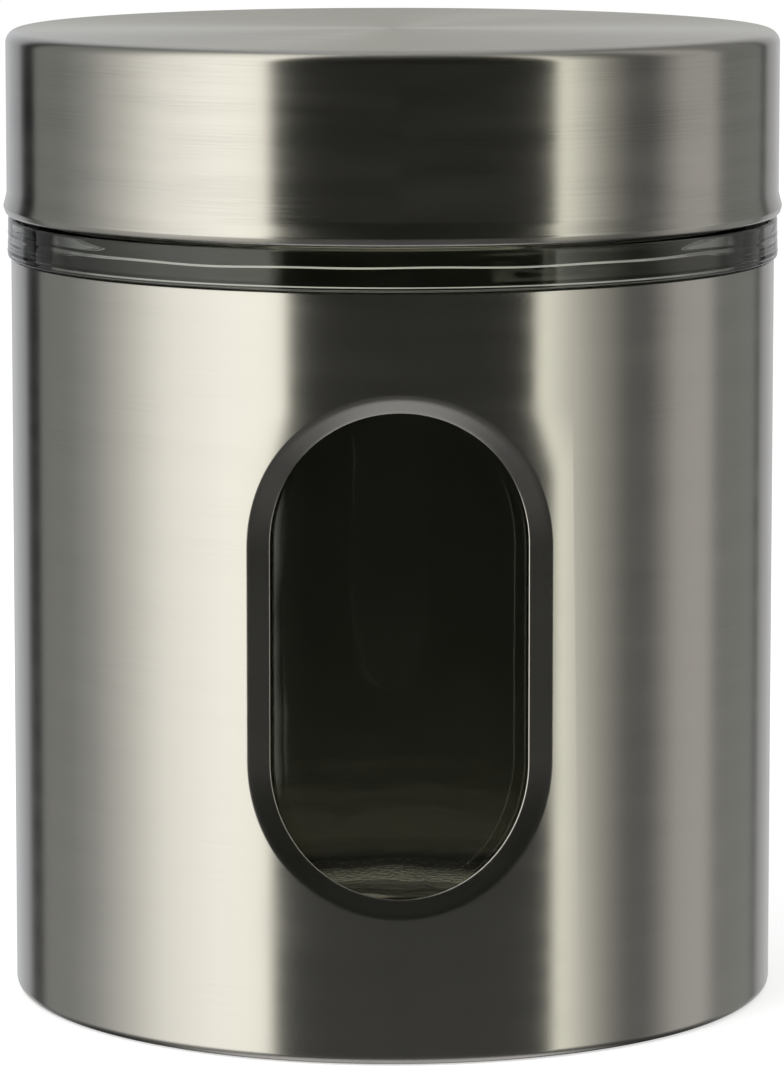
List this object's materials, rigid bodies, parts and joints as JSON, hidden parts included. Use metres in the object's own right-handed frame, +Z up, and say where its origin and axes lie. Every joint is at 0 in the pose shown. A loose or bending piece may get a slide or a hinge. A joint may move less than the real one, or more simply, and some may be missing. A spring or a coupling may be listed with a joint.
{
  "type": "storage canister",
  "caption": "Glass food canister in a brushed steel sleeve with a long round-ended window, and a steel screw lid with a sealed plastic liner.",
  "frame": {"origin": "centre of the foot, at the height of the surface that the canister stands on", "axes": "+Z up along the canister's axis, -Y out through the middle of the window, +X to the right when the window is seen from outside"},
  "size_m": [0.102, 0.102, 0.1265],
  "materials": {
    "clear_glass": "pressed and fire polished, clear",
    "brushed_sleeve_steel": "brushed round the sleeve",
    "brushed_lid_steel": "brushed round the side and in circles on top",
    "moulded_plastic": "moulded polypropylene, satin",
    "silicone": "translucent white silicone, matt",
    "foam": "closed-cell foam, matt"
  },
  "bodies": {
    "jar": {"glass_jar": "clear_glass", "steel_sleeve": "brushed_sleeve_steel", "bedding_ring": "foam"},
    "seal": {"lid_gasket": "silicone"},
    "lid": {"lid_shell": "brushed_lid_steel", "lid_liner": "moulded_plastic"}
  },
  "joints": [
    {"name": "lid_lift", "type": "slide", "parent": "jar", "child": "seal", "axis": [0, 0, 1], "range_m": [0, 0.024]},
    {"name": "lid_turn", "type": "hinge", "parent": "seal", "child": "lid", "pos_m": [0, 0, 0.10255], "axis": [0, 0, 1], "range_deg": [0, 540]}
  ],
  "couplings": [
    {"joint": "lid_lift", "follows": "lid_turn", "m_per_rad": 0.0025465}
  ]
}
